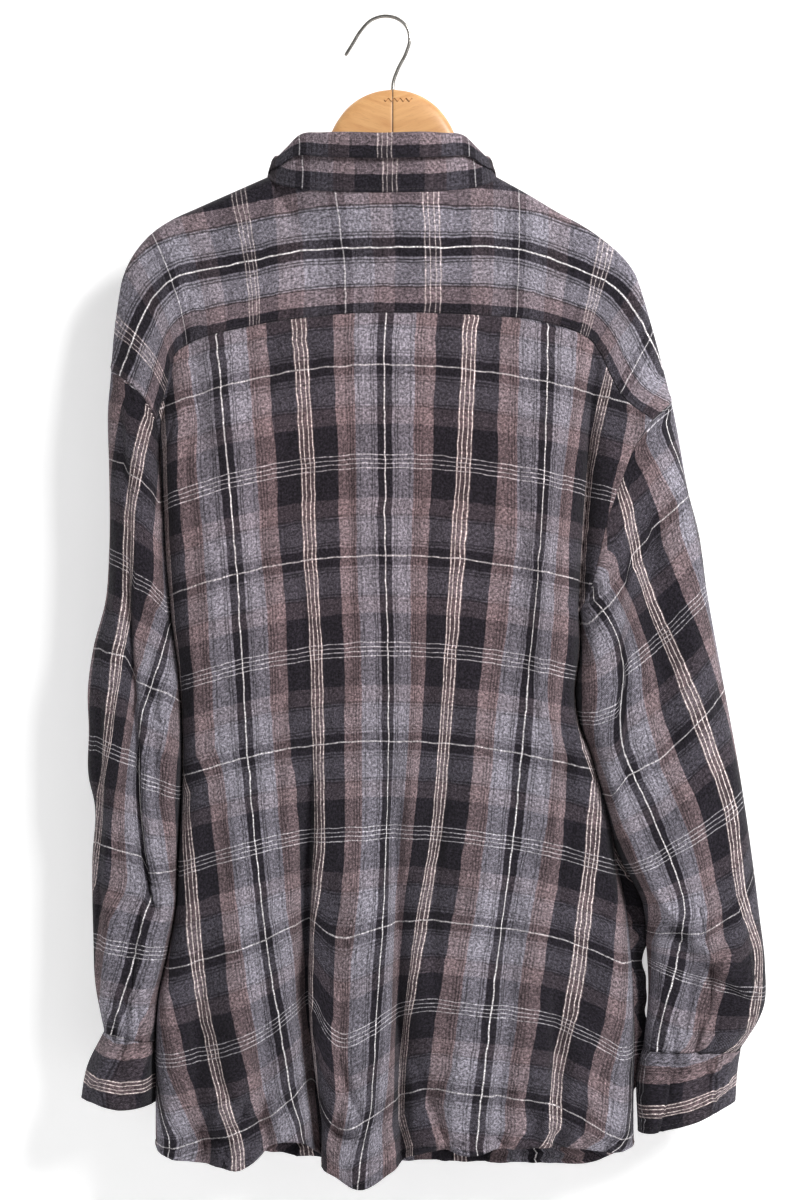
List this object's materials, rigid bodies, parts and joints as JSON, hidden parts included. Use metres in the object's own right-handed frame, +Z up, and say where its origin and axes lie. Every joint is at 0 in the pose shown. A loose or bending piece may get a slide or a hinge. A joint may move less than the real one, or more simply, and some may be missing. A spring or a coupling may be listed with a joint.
{
  "type": "flannel shirt on a wooden hanger",
  "caption": "Long-sleeved button-front plaid flannel shirt hung on a shaped wooden hanger with a wire hook, its back facing out.",
  "frame": {"origin": "inside the top of the hanger's hook, where a rail or nail carries it; the hanger's middle plane is Y = 0", "axes": "+X towards the wearer's left sleeve, +Y out of the shirt's back, +Z up"},
  "size_m": [0.6081, 0.0986, 1.0374],
  "materials": {
    "flannel": "brushed plaid",
    "button": "polished",
    "hanger_wood": "lacquered",
    "hook_wire": "nickel-plated"
  },
  "bodies": {
    "root": {"yoke": "flannel", "back_panel": "flannel", "front_left": "flannel", "front_right": "flannel", "front_placket": "flannel", "collar_stand": "flannel", "collar_leaf": "flannel", "sleeve_left": "flannel", "sleeve_right": "flannel", "sleeve_placket_left": "flannel", "sleeve_placket_right": "flannel", "cuff_left": "flannel", "cuff_right": "flannel", "front_button_1": "button", "front_button_2": "button", "front_button_3": "button", "front_button_4": "button", "front_button_5": "button", "front_button_6": "button", "front_button_7": "button", "collar_button": "button", "cuff_button_left": "button", "cuff_button_right": "button", "hanger_half_left": "hanger_wood", "hanger_half_right": "hanger_wood", "hanger_hook": "hook_wire"}
  },
  "joints": []
}
